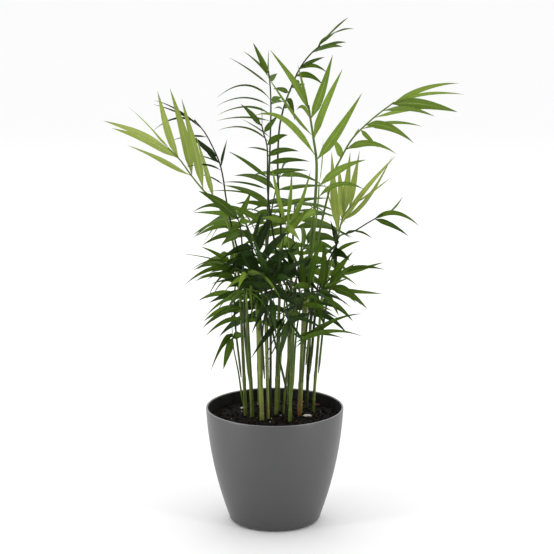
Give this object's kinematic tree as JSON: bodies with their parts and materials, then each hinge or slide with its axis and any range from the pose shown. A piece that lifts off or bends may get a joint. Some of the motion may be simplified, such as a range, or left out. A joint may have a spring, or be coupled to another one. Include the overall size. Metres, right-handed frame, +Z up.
{
  "type": "potted palm",
  "caption": "Potted palm: slender canes with feather-shaped green fronds, rooted in dark soil in a plain round grey pot.",
  "frame": {"origin": "centre of the pot's underside", "axes": "+Z up along the pot's axis, the front of the plant faces -Y, +X to the right seen from the front"},
  "size_m": [0.465, 0.4015, 0.6683],
  "materials": {
    "pot_plastic": "satin",
    "soil": "matte",
    "pebble": "matte",
    "bark": "matte",
    "cane_green": "satin",
    "cane_yellow": "satin",
    "cane_dark": "satin",
    "cane_brown": "satin",
    "leaf_pale": "satin",
    "leaf_bright": "satin",
    "leaf_mid": "satin",
    "leaf_dark": "satin"
  },
  "bodies": {
    "root": {"bark_chip_left": "bark", "bark_chip_right": "bark", "cane_back_left": "cane_green", "cane_back_right": "cane_green", "cane_brown_foot": "cane_brown", "cane_crossing": "cane_dark", "cane_front_right": "cane_green", "cane_front_thick": "cane_yellow", "cane_front_thin": "cane_yellow", "cane_leaning": "cane_green", "cane_left_back": "cane_dark", "cane_left_front": "cane_green", "cane_left_outer": "cane_green", "cane_middle_back": "cane_green", "cane_middle_dark": "cane_dark", "cane_middle_tall": "cane_green", "cane_middle_thin": "cane_dark", "cane_right_dark": "cane_dark", "cane_right_outer": "cane_green", "cane_right_thick": "cane_yellow", "frond_arching_right": "leaf_bright", "frond_back_left": "leaf_mid", "frond_back_low": "leaf_dark", "frond_back_outer": "leaf_mid", "frond_back_right": "leaf_mid", "frond_back_upper": "leaf_mid", "frond_bright": "leaf_bright", "frond_core_left": "leaf_dark", "frond_core_right": "leaf_dark", "frond_crossing": "leaf_bright", "frond_dark_right": "leaf_dark", "frond_fan_right": "leaf_mid", "frond_foot_left": "leaf_mid", "frond_front": "leaf_bright", "frond_front_dark": "leaf_dark", "frond_front_right": "leaf_mid", "frond_inner_far": "leaf_mid", "frond_inner_high": "leaf_dark", "frond_inner_left": "leaf_dark", "frond_inner_right": "leaf_dark", "frond_left_far": "leaf_mid", "frond_low_front": "leaf_dark", "frond_low_left": "leaf_mid", "frond_low_right": "leaf_mid", "frond_mid_left": "leaf_mid", "frond_middle": "leaf_mid", "frond_near_left": "leaf_mid", "frond_near_right": "leaf_dark", "frond_pale_left": "leaf_pale", "frond_pale_right": "leaf_pale", "frond_radiating": "leaf_bright", "frond_side_right": "leaf_mid", "frond_tall_left": "leaf_mid", "frond_thin_left": "leaf_dark", "frond_top": "leaf_mid", "pebble_left": "pebble", "pebble_right": "pebble", "pot": "pot_plastic", "soil": "soil"}
  },
  "joints": []
}
